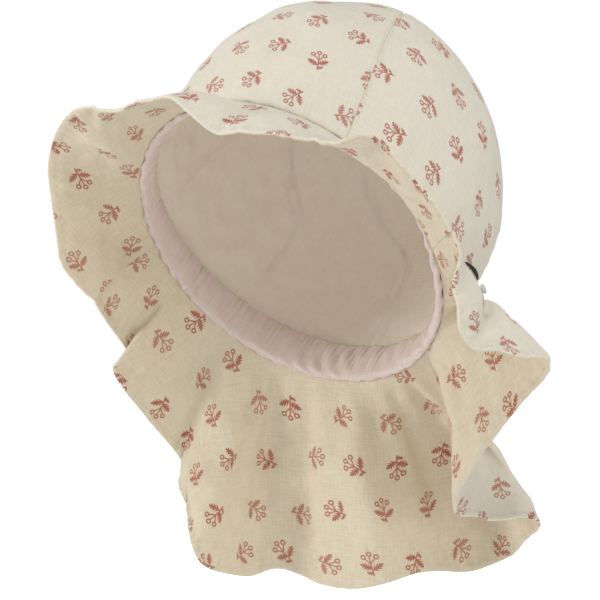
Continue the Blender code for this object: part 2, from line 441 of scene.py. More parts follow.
FLAP_FOLDS = [
    LEFT_SEAM,
    Fold(100, 0.00, 0.50, -0.60, -0.45, 0.35, -0.35, -0.10),
    Fold(108, 0.05, 0.35, -0.60, -0.55, 0.45, -0.40, 0.05),
    Fold(112, 0.09, 0.35, -0.60, -0.60, 0.50, -0.45, 0.05),
    Fold(116, 0.17, 0.35, -0.55, -0.65, 0.50, -0.40, 0.10),
    Fold(119, 0.25, 0.40, -0.45, -0.60, 0.35, -0.20, 0.30),
    Fold(122, 0.31, 0.50, -0.45, -0.45, 0.30, -0.30, 0.40),
    Fold(124, 0.38, 0.60, -0.45, -0.35, 0.35, -0.30, 0.25),
    Fold(127, 0.45, 0.70, -0.40, -0.20, 0.50, -0.30, 0.10),
    Fold(132, 0.38, 0.65, -0.05, -0.40, 0.40, -0.10, -0.10),
    Fold(137, 0.45, 0.65, 0.40, -0.60, 0.25, 0.15, -0.05),
    Fold(143, 0.65, 0.80, 0.35, -0.35, 0.60, 0.50, 0.25),
    Fold(151, 0.90, 0.95, 0.05, -0.15, 0.70, 0.20, 0.20),
    Fold(162, 0.98, 1.00, 0.15, -0.20, 0.60, 0.20, 0.10),
    Fold(173, 1.00, 0.80, -0.05, -0.40, 0.40, 0.00, -0.20),
    Fold(186, 1.00, 0.70, -0.15, -0.60, 0.30, -0.10, -0.35),
    Fold(201, 1.00, 0.70, -0.15, -0.55, 0.40, -0.05, -0.25),
    Fold(209, 1.00, 0.70, -0.20, -0.65, 0.40, -0.05, -0.30),
    Fold(217, 1.00, 0.50, -0.20, -0.80, 0.25, -0.10, -0.35),
    Fold(225, 0.72, 0.50, -0.20, -0.70, 0.30, -0.05, -0.40),
    Fold(231, 0.48, 0.55, -0.25, -0.60, 0.35, -0.10, -0.30),
    Fold(238, 0.22, 0.55, -0.10, -0.70, 0.35, -0.10, -0.30),
    Fold(249, 0.02, 0.50, 0.00, -0.85, 0.20, 0.05, -0.45),
    Fold(257, 0.00, 0.50, -0.30, -0.60, 0.15, 0.00, -0.35),
    RIGHT_SEAM._replace(angle=270),
]


def smooth_rows(table: Array, places: Array) -> Array:
    """Read a table along a smooth curve through its rows.

    Args:
        table: One row of values for each knot.
        places: Where to read it, 0 at its first row and 1 more at each next.

    Returns:
        One row of values for each place.
    """
    padded = np.concatenate([table[:1], table, table[-1:]])
    first = np.clip(np.floor(places).astype(int), 0, len(table) - 2)
    share = (places - first)[:, None]
    a, b, c, d = (padded[first + step] for step in range(4))
    bend = 2 * a - 5 * b + 4 * c - d
    twist = 3 * (b - c) + d - a
    return b + 0.5 * share * (c - a + share * (bend + share * twist))


@dataclass
class Finishes:
    """Every material of the hat."""

    printed: Material
    # The inner faces' copy of the printed cotton, darker and warmer: painted shade, with a painted warm glow
    # of light through the cloth.
    printed_under_shaded: Material
    lining: Material
    band: Material
    thread: Material
    sliver: Material
    plastic: Material


@dataclass
class Crown:
    """Four panels of printed cotton, sewn along double topstitched seams."""

    form: HatForm
    cloth: float = 0.0009
    columns: int = 84
    rows: int = 120
    seam_depth: float = 0.0007
    allowance: float = 0.0055
    stitch_inset: float = 0.0021
    quarter: float = 90.0
    seam_columns: tuple[float, ...] = (
        0.0, 0.0002, 0.0005, 0.0009, 0.0014, 0.002, 0.0028, 0.0038, 0.005, 0.0064
    )

    def panel(self, middle: float) -> ClothGrid:
        """The grid of one panel, from the rim to the tip.

        Args:
            middle: The panel's middle, in degrees from the front.

        Returns:
            The panel's cloth, turned in along its seams and its rim.
        """
        shares = self.form.even_shares(0.0, TIP, self.rows)
        meridian = self.form.crown(np.full_like(shares, middle), shares)
        heights = running_length(meridian)
        half = np.radians(self.quarter / 2) * np.linalg.norm(meridian[:, :2], axis=-1)
        fine = np.array(self.seam_columns)
        level = np.linspace(-1, 1, self.columns - 2 * len(fine))
        places = []
        for width in half:
            inner = 1 - fine * min(1.0, width / 0.014) / max(width, 1e-9)
            places.append(np.concatenate([-inner, level * inner[-1] * 0.985, inner[::-1]]))
        place = np.array(places).T
        angle = middle + place * self.quarter / 2 - self.form.seam_lean * shares
        points = self.form.crown(angle, np.broadcast_to(shares, angle.shape))
        across = place * half
        cut = np.stack([across, np.broadcast_to(heights, across.shape)], axis=-1)
        edge = np.minimum(half - np.abs(across), 1.0)
        thickness = round_edge(np.minimum(edge, cut[..., 1]), self.cloth)
        grid = ClothGrid(points, cut, thickness)
        grid.push(self.relief(points, cut, edge) - self.cloth / 2)
        return grid

    def relief(self, points: Array, cut: Array, edge: Array) -> Array:
        """How far the cloth stands off the smooth dome.

        Args:
            points: The panel's points.
            cut: Their places in the flat cut.
            edge: Their distances from the nearer seam.

        Returns:
            Heights along the normals.
        """
        valley = -self.seam_depth * (np.exp(-edge / 0.0009) + np.exp(-cut[..., 1] / 0.0009))
        turned = 1 - smooth_step(self.allowance, self.allowance + 0.002, edge)
        fold = smooth_step(0.0007, 0.0016, edge) * turned
        pucker = soft_waves(cut[..., 1:], 0.0065, 11) * np.exp(-((edge - 0.0025) / 0.004) ** 2)
        gather = soft_waves(cut[..., :1], 0.011, 12) * np.exp(-(cut[..., 1] / 0.02) ** 2)
        broad = 0.0008 * soft_waves(points, 0.06, 13) + 0.0003 * soft_waves(points, 0.021, 14)
        calm = smooth_step(0.0, 0.03, np.linalg.norm(points[..., :2], axis=-1))
        return valley + 0.00028 * fold + calm * (0.00022 * pucker + 0.00045 * gather + broad)

    def build(self, finishes: Finishes) -> None:
        """Make and dress the panels and their topstitching."""
        quarters = (("front", 0, 0.0), ("left", 90, 0.31), ("back", 180, 0.62), ("right", 270, 0.93))
        for name, middle, print_shift in quarters:
            grid = self.panel(middle)
            lines = [grid.inset_line(edge, self.stitch_inset, Face.OUTER) for edge in (Edge.START, Edge.END)]
            lines = [(line[:-4], facing[:-4]) for line, facing in lines]
            size = grid.flat_size()
            grid.cut = grid.cut + print_shift
            panel = grid.build(f"crown_{name}_cloth", self.form, [finishes.printed])
            stitches = Stitching().sew(f"crown_{name}_topstitching", lines, self.form, finishes.thread)
            dress(panel, "printed_cotton", f"crown_{name}")
            dress(stitches, "printed_cotton")


@dataclass
class Lining:
    """The thin loose cap inside the crown, with its own seams and soft folds."""

    form: HatForm
    inset: float = 0.0021
    cloth: float = 0.0006
    start: float = 0.003
    columns: int = 360
    rows: int = 120
    seams: tuple[float, ...] = (-141.0, -44.0, 46.0, 136.0, -90.0)
    twist: float = 40.0
    folds: tuple[float, ...] = (-118.0, -178.0)

    def build(self, finishes: Finishes) -> None:
        """Make and dress the lining."""
        shares = self.form.even_shares(self.start / self.form.crown_height, TIP, self.rows)
        angles = np.linspace(0, 360, self.columns + 1)
        angle, share = np.meshgrid(angles, shares, indexing="ij")
        points = self.form.crown(angle, share, self.inset)
        radius = np.linalg.norm(points[..., :2], axis=-1)
        rise = running_length(points[0])
        cut = np.stack([np.radians(angle) * radius.max(), np.broadcast_to(rise, angle.shape)], axis=-1)
        girth = np.stack([points[..., 0], points[..., 1], points[..., 2] * 0.25], axis=-1)
        loose = 0.0009 * (1 + soft_waves(girth, 0.034, 21)) + 0.0004 * soft_waves(points, 0.014, 22)
        ridge = np.zeros_like(loose)
        for seam in self.seams:
            line = seam - self.twist * smooth_step(0.55, 0.9, 1 - share + 0.45)
            distance = np.radians(degrees_from(line, angle)) * radius * 0.75
            crest = 0.0013 * np.exp(-(distance / 0.0008) ** 2)
            ridge += crest - 0.0006 * np.exp(-((distance - 0.0025) / 0.0018) ** 2)
        low, high = smooth_step(0.2, 0.35, share), 1 - smooth_step(0.55, 0.75, share)
        for fold in self.folds:
            distance = np.radians(degrees_from(fold, angle)) * radius
            side = np.where(distance > 0, 0.004, 0.014)
            ridge += 0.0024 * np.exp(-(distance / side) ** 2) * low * high
        calm = smooth_step(0.0, 0.02, radius) * smooth_step(0.08, 0.25, share)
        grid = ClothGrid(points[:-1], cut, np.full(points[:-1].shape[:2], self.cloth), closed=True)
        grid.push(-(0.0004 + calm * np.clip(loose + ridge, 0, 0.01))[:-1])
        lining = grid.build("crown_lining_cloth", self.form, [finishes.lining])
        dress(lining, "lining_cotton", "crown_lining")


@dataclass
class Sweatband:
    """The gathered channel of plain cloth inside the rim."""

    form: HatForm
    cloth: float = 0.0006
    front_height: float = 0.006
    back_height: float = 0.019
    roll: float = 0.0018
    gather: float = 0.0036
    gather_height: float = 0.0011
    fullness: float = 1.15
    stitch_inset: float = 0.0018
    columns: int = 1500
    rows: int = 30

    def build(self, finishes: Finishes) -> None:
        """Make and dress the band and the stitches along its upper edge."""
        angles = np.linspace(0, 360, self.columns + 1)
        back = (1 - np.cos(np.radians(angles))) / 2
        tall = self.front_height + (self.back_height - self.front_height) * back
        insets = [0.0007, 0.0012, 0.0026, 0.0040, 0.0048, 0.0052, 0.0043]
        drops = [-0.0013, -0.0013 - 0.7 * self.roll, -0.0008 - self.roll, -0.7 * self.roll, 0.0, 0.0, 0.0]
        rises = [0.0, 0.0, 0.0, 0.0, 0.2, 0.6, 1.0]
        shares = np.linspace(0, 1, self.rows)
        places = np.interp(shares, np.linspace(0, 1, len(insets)), np.arange(len(insets)))
        inset, drop, rise = smooth_rows(np.array([insets, drops, rises]).T, places).T
        # The band is thinner and lower at the front left, and a little thinner at the right.
        angle = np.broadcast_to(angles[:, None], (len(angles), self.rows))
        near = smooth_step(8.0, 28.0, angles) * (1 - smooth_step(80.0, 100.0, angles))
        side = smooth_step(235.0, 280.0, angles) + 1 - smooth_step(0.0, 20.0, angles)
        full = (1 - 0.7 * near - 0.25 * side)[:, None]
        height = drop[None, :] * full + rise[None, :] * (tall * (1 - 0.5 * near))[:, None]
        points = self.form.rim(angle, inset[0] + (inset[None, :] - inset[0]) * full, height)
        around = running_length(self.form.rim(angles))
        up = np.array([running_length(column)[-1] for column in points])
        level = np.broadcast_to(around[:, None], angle.shape)
        cut = np.stack([level, shares[None, :] * up[:, None]], axis=-1)
        phase = np.pi * around[:-1] / self.gather + 1.1 * soft_waves(around[:-1, None], 0.02, 31)
        pillow = np.abs(np.sin(phase)) ** 0.7 - 0.6
        swing = 0.6 + 0.4 * soft_waves(around[:-1, None], 0.03, 32)
        edges = 0.35 + 0.65 * np.exp(-((shares - 0.92) / 0.16) ** 2)
        edges = edges + 0.1 * np.exp(-((shares - 0.35) / 0.2) ** 2)
        puffs = self.gather_height * (pillow * swing)[:, None]
        relief = puffs * edges[None, :] * smooth_step(0.0, 0.2, shares)[None, :]
        relief += 0.00035 * soft_waves(cut[:-1], 0.009, 33)
        grid = ClothGrid(points[:-1], cut, np.full((self.columns, self.rows), self.cloth), closed=True)
        grid.push(-relief)
        line, facing = grid.inset_line(Edge.RIM, self.stitch_inset, Face.INNER)
        band = grid.build("sweatband_cloth", self.form, [finishes.band])
        loop = np.concatenate([line, line[:1]]), np.concatenate([facing, facing[:1]])
        run = Stitching(pitch=0.0024, length=0.0018)
        stitches = run.sew("band_stitching", [loop], self.form, finishes.thread)
        dress(band, "band_cotton", "sweatband")
        dress(stitches, "band_cotton")


@dataclass
class Skirt:
    """The soft brim and the long flap, one sheet each, with a turned hem."""

    form: HatForm
    brim_width: float = 0.052
    flap_length: float = 0.110
    cloth: float = 0.0010
    hem_width: float = 0.0034
    stitch_inset: float = 0.0024
    root_drop: float = 0.0011
    button_calm: float = 0.012
    button_rise: float = 0.0006
    hem_rows: tuple[float, ...] = (
        0.0, 0.00012, 0.0003, 0.0006, 0.0011, 0.0018, 0.0025, 0.0032, 0.0037, 0.0044
    )
    hem_end: float = 0.0052

    def cloth_grid(self, folds: list[Fold], columns: int, rows: int, seed: int) -> ClothGrid:
        """The grid of one sheet, from its hem to the rim.

        Args:
            folds: The sheet's table of folds.
            columns: How many columns it gets, evenly spaced along the cloth.
            rows: How many rows from hem to rim.
            seed: Which handling creases it shows.

        Returns:
            The sheet's cloth.
        """
        table = np.array(folds, dtype=float)
        fine = np.linspace(0, len(folds) - 1, 60 * len(folds))
        along = running_length(self.profile(smooth_rows(table, fine), np.array([0.7]))[:, 0])
        places = np.interp(np.linspace(0, along[-1], columns), along, fine)
        dense = self.profile(smooth_rows(table, places), np.linspace(1, 0, 120))
        strips, depths = [], []
        for strip in dense:
            lengths = running_length(strip)
            rest = np.linspace(self.hem_end, lengths[-1], rows - len(self.hem_rows))
            depth = np.concatenate([self.hem_rows, rest])
            strips.append(read_along(strip, lengths, depth))
            depths.append(depth)
        points, depth = np.array(strips), np.array(depths)
        cut = self.flat_cut(points, depth)
        start = running_length(points[:, rows // 3])
        side = np.minimum(start, start[-1] - start)[:, None]
        hem = 1 + 0.55 * (1 - smooth_step(self.hem_width - 0.0003, self.hem_width + 0.0004, depth))
        thickness = round_edge(np.minimum(depth, side), self.cloth) * hem
        grid = ClothGrid(points, cut, thickness)
        low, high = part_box("snap_button")
        away = np.linalg.norm(self.form.worn(points) - np.array((low + high) / 2), axis=-1)
        near = np.exp(-((away / self.button_calm) ** 2))
        grid.push(self.relief(cut, depth, side, seed) * (1 - near) + self.button_rise * near)
        return grid

    def profile(self, values: Array, downs: Array) -> Array:
        """Points from the rim (0) to the hem (1) for each row of fold values."""
        angle, growth = values[:, 0], values[:, 1]
        reach = (self.brim_width + growth * (self.flap_length - self.brim_width))[:, None, None]
        out, along = self.form.axes(angle)
        upward = np.array([0.0, 0.0, 1.0])
        hem = out * values[:, 2:3] + along * values[:, 3:4] + upward * values[:, 4:5]
        shoulder = out * values[:, 5:6] + along * values[:, 6:7] + upward * values[:, 7:8]
        root = self.form.rim(angle, 0.0003, -self.root_drop)[:, None]
        down = downs[None, :, None]
        return root + reach * (2 * down * (1 - down) * shoulder[:, None] + down * down * hem[:, None])

    def flat_cut(self, points: Array, depth: Array) -> Array:
        """Lay the sheet out flat, one narrow wedge after another.

        Args:
            points: The sheet's points.
            depth: Their distances from the hem.

        Returns:
            Places in the flat cut, in metres.
        """
        roots = np.linalg.norm(np.diff(points[:, -1], axis=0), axis=-1)
        hems = np.linalg.norm(np.diff(points[:, 0], axis=0), axis=-1)
        reach = depth[:, -1]
        turns = np.concatenate([[0.0], np.cumsum((hems - roots) / ((reach[1:] + reach[:-1]) / 2))])
        middles = (turns[1:] + turns[:-1]) / 2
        steps = np.stack([np.cos(middles), np.sin(middles)], axis=-1) * roots[:, None]
        starts = np.concatenate([[[0.0, 0.0]], np.cumsum(steps, axis=0)])
        downward = np.stack([np.sin(turns), -np.cos(turns)], axis=-1)
        return starts[:, None] + downward[:, None] * (reach[:, None] - depth)[..., None]

    def relief(self, cut: Array, depth: Array, side: Array, seed: int) -> Array:
        """How far the cloth stands off its smooth folds, with a puckered hem and handling creases."""
        free = smooth_step(0.0, 0.02, depth[:, -1:] - depth)
        along = running_length(cut[:, 0])[:, None, None] * np.ones(depth.shape)[..., None]
        ripple = soft_waves(along, 0.0075, seed) * np.exp(-((depth - 0.004) / 0.004) ** 2)
        broad = 0.0009 * soft_waves(cut, 0.042, seed + 1) + 0.00035 * soft_waves(cut, 0.015, seed + 2)
        broad = broad + 0.0011 * soft_waves(along, 0.032, seed + 3) * smooth_step(0.10, 0.19, side)
        valley = -0.0004 * np.exp(-side / 0.0009)
        return free * (broad + 0.00032 * ripple) + valley

    def build(self, finishes: Finishes) -> None:
        """Make and dress both sheets and their stitching."""
        for name, node, folds, columns, rows, seed, print_shift in (
            ("front_brim_cloth", "front_brim", BRIM_FOLDS, 380, 54, 41, 1.3),
            ("neck_flap_cloth", "neck_flap", FLAP_FOLDS, 560, 84, 51, 2.1),
        ):
            grid = self.cloth_grid(folds, columns, rows, seed)
            lines = [grid.inset_line(Edge.HEM, self.stitch_inset, face) for face in Face]
            lines += [grid.inset_line(edge, self.stitch_inset, Face.OUTER) for edge in (Edge.START, Edge.END)]
            width, length, area = grid.flat_size()
            grid.cut = grid.cut + print_shift
            # The inner faces take the darker underside copy, which paints their shade.
            sheet = grid.build(name, self.form, [finishes.printed, finishes.printed_under_shaded])
            stitches = Stitching().sew(f"{node}_stitching", lines, self.form, finishes.thread)
            dress(sheet, "printed_cotton", node)
            dress(stitches, "printed_cotton")
            LOG.info("%s: cut %.3f x %.3f m, %.4f square metres", name, width, length, area)


@dataclass
class Trim:
    """A thin near-black sliver laid on the crown's side, and the pale snap button."""

    form: HatForm
    width: float = 0.0024
    tip_width: float = 0.0006
    cloth: float = 0.0009
    angles: tuple[float, float] = (107.0, 125.0)
    rises: tuple[float, float] = (0.017, 0.034)

    def build(self, finishes: Finishes) -> None:
        """Make the sliver and dress the button."""
        share = np.linspace(0, 1, 28)
        wide = self.tip_width + (self.width - self.tip_width) * np.sin(np.pi * share) ** 0.8
        across = wide[:, None] * np.array([0.0, 0.05, 0.12, 0.3, 0.5, 0.7, 0.88, 0.95, 1.0])
        angle = self.angles[0] + (self.angles[1] - self.angles[0]) * share
        rise = self.rises[0] + (self.rises[1] - self.rises[0]) * share
        place = np.broadcast_to(angle[:, None], across.shape)
        height = (rise[:, None] + across) / self.form.crown_height
        points = self.form.crown(place, height, -self.cloth)
        along = running_length(points[:, 4])
        cut = np.stack(np.broadcast_arrays(along[:, None], across), axis=-1)
        ends = np.minimum(along, along[-1] - along)[:, None]
        edge = np.minimum(ends, np.minimum(across, wide[:, None] - across))
        grid = ClothGrid(points, cut, round_edge(edge, self.cloth))
        # A near-black sliver, a few millimetres wide and tapering to both ends, laid flat on the crown.
        tab = grid.build("side_tab_sliver", self.form, [finishes.sliver])
        dress(tab, "dark_tape", "side_tab")
        button = bpy.data.objects["snap_button"]
        for slot in button.material_slots:
            slot.material = finishes.plastic


def dress(piece: Object, slot: str, *nodes: str) -> None:
    """Let a piece ride on the hat and stand for its nodes, which it hides."""
    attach(piece, "root")
    if nodes:
        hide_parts(*nodes)
    LOG.info("%s: %d faces", piece.name, len(piece.data.polygons))


class Value:
    """A value over the surface, worked out by math nodes as ordinary sums are."""

    def __init__(self, tree: NodeTree, source: "NodeSocket | float") -> None:
        """Hold a socket or a plain number, and the tree that it belongs to."""
        self.tree = tree
        self.source = source

    def plug(self, socket: NodeSocket) -> None:
        """Feed this value to a node's input."""
        if isinstance(self.source, (int, float)):
            socket.default_value = self.source
        else:
            self.tree.links.new(self.source, socket)

    def sum(self, operation: str, *others: "Value | float", clamp: bool = False) -> "Value":
        """Add one math node on this value and others, and return what it gives."""
        node = self.tree.nodes.new("ShaderNodeMath")
        node.operation = operation
        node.use_clamp = clamp
        feed(self.tree, node, (self, *others))
        return Value(self.tree, node.outputs[0])

    def __add__(self, other: "Value | float") -> "Value":
        """This plus other."""
        return self.sum("ADD", other)

    def __sub__(self, other: "Value | float") -> "Value":
        """This less other."""
        return self.sum("SUBTRACT", other)

    def __mul__(self, other: "Value | float") -> "Value":
        """This times other."""
        return self.sum("MULTIPLY", other)

    def __truediv__(self, other: "Value | float") -> "Value":
        """This over other."""
        return self.sum("DIVIDE", other)

    def most(self, other: "Value | float") -> "Value":
        """The larger of the two."""
        return self.sum("MAXIMUM", other)

    def least(self, other: "Value | float") -> "Value":
        """The smaller of the two."""
        return self.sum("MINIMUM", other)

    def of(self, operation: str) -> "Value":
        """A math node that takes this value alone."""
        return self.sum(operation)


def feed(tree: NodeTree, node: Node, values: "Iterable[Value | float]") -> None:
    """Feed a node's inputs in their order, with values or plain numbers."""
    for socket, value in zip(node.inputs, values):
        (value if isinstance(value, Value) else Value(tree, value)).plug(socket)


@dataclass(frozen=True)
class Point:
    """A place on the sprig, in units of half its height."""

    x: float
    y: float


class Sprig:
    """The drawing of one printed sprig, as ink about a point of the cloth."""

    def __init__(self, x: Value, y: Value) -> None:
        """Take the place on the sprig that is being inked."""
        self.x = x
        self.y = y

    def from_point(self, point: Point) -> tuple[Value, Value]:
        """The place measured from a point."""
        return self.x - point.x, self.y - point.y

    def ring(self, centre: Point, radius: float, width: float) -> Value:
        """Ink on a round berry's outline."""
        x, y = self.from_point(centre)
        distance = (x * x + y * y).of("SQRT")
        return Value(x.tree, width) - (distance - radius).of("ABSOLUTE")

    def stalk(self, start: Point, end: Point, width: float) -> Value:
        """Ink on a straight stalk with round ends."""
        across, up = end.x - start.x, end.y - start.y
        x, y = self.from_point(start)
        share = (x * across + y * up).sum("DIVIDE", across * across + up * up, clamp=True)
        aside_x, aside_y = x - share * across, y - share * up
        return Value(x.tree, width) - (aside_x * aside_x + aside_y * aside_y).of("SQRT")

    def leaf(self, start: Point, end: Point, width: float, teeth: float) -> Value:
        """Ink on a leaf with toothed edges that lean to its tip."""
        across, up = end.x - start.x, end.y - start.y
        length = math.hypot(across, up)
        x, y = self.from_point(start)
        share = (x * across + y * up) / (length * length)
        aside = ((x * up - y * across) / length).of("ABSOLUTE")
        tooth = (share * teeth - aside * (teeth * 0.9)).sum("PINGPONG", 0.5)
        belly = (share * math.pi).of("SINE").most(0.0).sum("POWER", 0.7)
        edge = belly * (tooth * 1.5 + 0.28) * width
        return (edge - aside).least(share * length).least(Value(x.tree, length) - share * length)

    def ink(self) -> Value:
        """The whole sprig: a forked stem, two toothed leaves, three berries and a bud."""
        fork = Point(0.04, 0.05)
        berries = [Point(-0.44, 0.66), Point(0.08, 0.86), Point(0.56, 0.58)]
        parts = [self.stalk(Point(-0.06, -0.92), fork, 0.06)]
        for berry in berries:
            reach = math.hypot(berry.x - fork.x, berry.y - fork.y)
            near = 1 - 0.17 / reach
            foot = Point(fork.x + (berry.x - fork.x) * near, fork.y + (berry.y - fork.y) * near)
            parts.append(self.ring(berry, 0.16, 0.062))
            parts.append(self.stalk(fork, foot, 0.052))
        parts.append(self.leaf(Point(-0.04, -0.50), Point(-0.92, 0.06), 0.34, 4.0))
        parts.append(self.leaf(Point(-0.02, -0.36), Point(0.90, 0.02), 0.34, 4.0))
        parts.append(self.leaf(Point(-0.05, -0.80), Point(0.46, -0.62), 0.19, 3.0))
        total = parts[0]
        for part in parts[1:]:
            total = total.most(part)
        return total


class EffectGroup:
    """A shader node group with named inputs and outputs."""

    def __init__(self, name: str, inputs: dict[str, float | None], outputs: list[str]) -> None:
        """Make the group's sockets.

        Args:
            name: The group's name.
            inputs: Each value's name and default, with None for a vector.
            outputs: The names of the values that it puts out.
        """
        self.tree = bpy.data.node_groups.new(name, "ShaderNodeTree")
        for title, default in inputs.items():
            kind = "NodeSocketVector" if default is None else "NodeSocketFloat"
            socket = self.tree.interface.new_socket(title, in_out="INPUT", socket_type=kind)
            if default is not None:
                socket.default_value = default
        for title in outputs:
            self.tree.interface.new_socket(title, in_out="OUTPUT", socket_type="NodeSocketFloat")
        self.entry = self.tree.nodes.new("NodeGroupInput")
        self.exit = self.tree.nodes.new("NodeGroupOutput")

    def value(self, title: str) -> Value:
        """One of the group's inputs."""
        return Value(self.tree, self.entry.outputs[title])

    def halves(self, source: NodeSocket) -> tuple[Value, Value]:
        """The first two parts of a vector."""
        split = self.tree.nodes.new("ShaderNodeSeparateXYZ")
        self.tree.links.new(source, split.inputs[0])
        return Value(self.tree, split.outputs["X"]), Value(self.tree, split.outputs["Y"])

    def joined(self, x: Value, y: Value, z: "Value | float" = 0.0) -> NodeSocket:
        """A vector from its parts."""
        join = self.tree.nodes.new("ShaderNodeCombineXYZ")
        feed(self.tree, join, (x, y, z))
        return join.outputs[0]

    def noise(self, place: NodeSocket, scale: float, detail: float) -> Value:
        """Soft noise at a place, about 0.5."""
        node = self.tree.nodes.new("ShaderNodeTexNoise")
        node.inputs["Scale"].default_value = scale
        node.inputs["Detail"].default_value = detail
        self.tree.links.new(place, node.inputs["Vector"])
        return Value(self.tree, node.outputs["Fac"])

    def give(self, title: str, value: Value) -> None:
        """Put out a value under its name."""
        value.plug(self.exit.inputs[title])


def sprig_print_group() -> NodeTree:
    """Small sprigs tossed over the cloth in staggered rows, each turned its own way."""
    inputs = {"Cut": None, "Spacing": 0.0245, "Height": 0.0120, "Seed": 0.0}
    group = EffectGroup("Tossed sprig print", inputs, ["Ink", "Tone"])
    u, v = group.halves(group.entry.outputs["Cut"])
    spacing = group.value("Spacing")
    line = (v / spacing).of("FLOOR")
    across = u / spacing + line * 0.5 + line.of("SINE") * 0.2
    column = across.of("FLOOR")
    dice = group.tree.nodes.new("ShaderNodeTexWhiteNoise")
    group.tree.links.new(group.joined(column, line, group.value("Seed")), dice.inputs["Vector"])
    first, second = group.halves(dice.outputs["Color"])
    turn = Value(group.tree, dice.outputs["Value"]) * (2 * math.pi)
    scale = spacing / group.value("Height") * 2.0
    x = (across.of("FRACT") - 0.5 + (first - 0.5) * 0.26) * scale
    y = ((v / spacing).of("FRACT") - 0.5 + (second - 0.5) * 0.26) * scale
    cosine, sine = turn.of("COSINE"), turn.of("SINE")
    sprig = Sprig(x * cosine - y * sine, x * sine + y * cosine)
    group.give("Ink", (sprig.ink() * 22.0).sum("ADD", 0.5, clamp=True))
    group.give("Tone", first)
    return group.tree


def weave_group() -> NodeTree:
    """A plain weave with slubs, as height and as a slight change of tone."""
    group = EffectGroup("Slubbed plain weave", {"Cut": None, "Pitch": 0.00055}, ["Height", "Tone"])
    u, v = group.halves(group.entry.outputs["Cut"])
    turn = Value(group.tree, 2 * math.pi) / group.value("Pitch")
    warp, weft = (u * turn).of("SINE"), (v * turn).of("SINE")
    crossing = (warp * weft + 1.0) * 0.5
    wide = group.noise(group.joined(u * 110.0, v * 1300.0), 1.0, 2.0)
    tall = group.noise(group.joined(u * 1300.0, v * 110.0, 3.0), 1.0, 2.0)
    slub = wide + tall - 1.0
    group.give("Height", crossing * 0.5 + slub * 1.6)
    group.give("Tone", slub)
    return group.tree


def handling_group() -> NodeTree:
    """Soft creases and uneven tone from washing and handling."""
    group = EffectGroup("Handled cotton", {"Place": None}, ["Crease", "Cloud"])
    place = group.entry.outputs["Place"]
    group.give("Crease", group.noise(place, 95.0, 4.0))
    group.give("Cloud", group.noise(place, 11.0, 2.0))
    return group.tree


@dataclass(frozen=True)
class CottonFinish:
    """A woven cotton, with or without the sprig print."""

    name: str
    cream: Colour
    deep: Colour
    roughness: float = 0.88
    sheen: float = 0.2
    weave_depth: float = 0.00018
    crease_depth: float = 0.0012
    ink: Colour | None = None
    ghost: float = 0.0
    seed: float = 0.0

    def build(self, groups: dict[str, NodeTree]) -> Material:
        """Make the material.

        Args:
            groups: The shared effects, by name.

        Returns:
            The finished material.
        """
        material, shader = new_shader(self.name, self.roughness)
        tree = material.node_tree
        shader.inputs["Sheen Weight"].default_value = self.sheen
        shader.inputs["Sheen Roughness"].default_value = 0.6
        shader.inputs["Specular IOR Level"].default_value = 0.25
        cut = tree.nodes.new("ShaderNodeUVMap")
        cut.uv_map = "Cut"
        place = tree.nodes.new("ShaderNodeTexCoord")
        weave = add_effect(tree, groups["weave"], "Cut", cut.outputs[0])
        handling = add_effect(tree, groups["handling"], "Place", place.outputs["Object"])
        cloud = Value(tree, handling.outputs["Cloud"])
        tone = (Value(tree, weave.outputs["Tone"]) * 1.7 + (cloud - 0.5) * 0.9).sum("ADD", 0.5, clamp=True)
        colour = mix_colours(tree, tone, self.deep, self.cream)
        if self.ink:
            # A faint second layer of sprigs lies under the printed one, as if it showed through.
            for seed, strength in ((self.seed + 5.0, self.ghost), (self.seed, 0.92)):
                sprigs = add_effect(tree, groups["print"], "Cut", cut.outputs[0])
                sprigs.inputs["Seed"].default_value = seed
                fibre = Value(tree, weave.outputs["Tone"]) * 0.5 + 1.0
                fade = Value(tree, sprigs.outputs["Tone"]) * 0.2 + 0.8
                amount = Value(tree, sprigs.outputs["Ink"]) * fade * fibre
                colour = mix_colours(tree, amount.sum("MULTIPLY", strength, clamp=True), colour, self.ink)
        tree.links.new(colour, shader.inputs["Base Color"])
        creases = add_bump(tree, handling.outputs["Crease"], self.crease_depth)
        threads = add_bump(tree, weave.outputs["Height"], self.weave_depth, creases)
        tree.links.new(threads, shader.inputs["Normal"])
        return material


def new_shader(name: str, roughness: float) -> tuple[Material, Node]:
    """A new material, and its shader with a roughness."""
    material = bpy.data.materials.new(name)
    material.use_nodes = True
    shader = material.node_tree.nodes["Principled BSDF"]
    shader.inputs["Roughness"].default_value = roughness
    return material, shader


def add_effect(
    tree: NodeTree, group: NodeTree, title: str, source: NodeSocket
) -> Node:
    """Place a shared effect and feed its vector."""
    node = tree.nodes.new("ShaderNodeGroup")
    node.node_tree = group
    tree.links.new(source, node.inputs[title])
    return node


def mix_colours(
    tree: NodeTree,
    amount: Value,
    low: "Colour | NodeSocket",
    high: "Colour | NodeSocket",
) -> NodeSocket:
    """A colour between low and high, each a colour or a socket."""
    mix = tree.nodes.new("ShaderNodeMix")
    mix.data_type = "RGBA"
    amount.plug(mix.inputs[0])
    for socket, colour in ((mix.inputs[6], low), (mix.inputs[7], high)):
        if isinstance(colour, tuple):
            socket.default_value = (*colour, 1.0)
        else:
            tree.links.new(colour, socket)
    return mix.outputs[2]


def add_bump(
    tree: NodeTree,
    height: NodeSocket,
    depth: float,
    below: "NodeSocket | None" = None,
) -> NodeSocket:
    """A bump of a depth in metres, over another if one is given."""
    bump = tree.nodes.new("ShaderNodeBump")
    bump.inputs["Strength"].default_value = 0.6
    bump.inputs["Distance"].default_value = depth
    tree.links.new(height, bump.inputs["Height"])
    if below:
        tree.links.new(below, bump.inputs["Normal"])
    return bump.outputs[0]


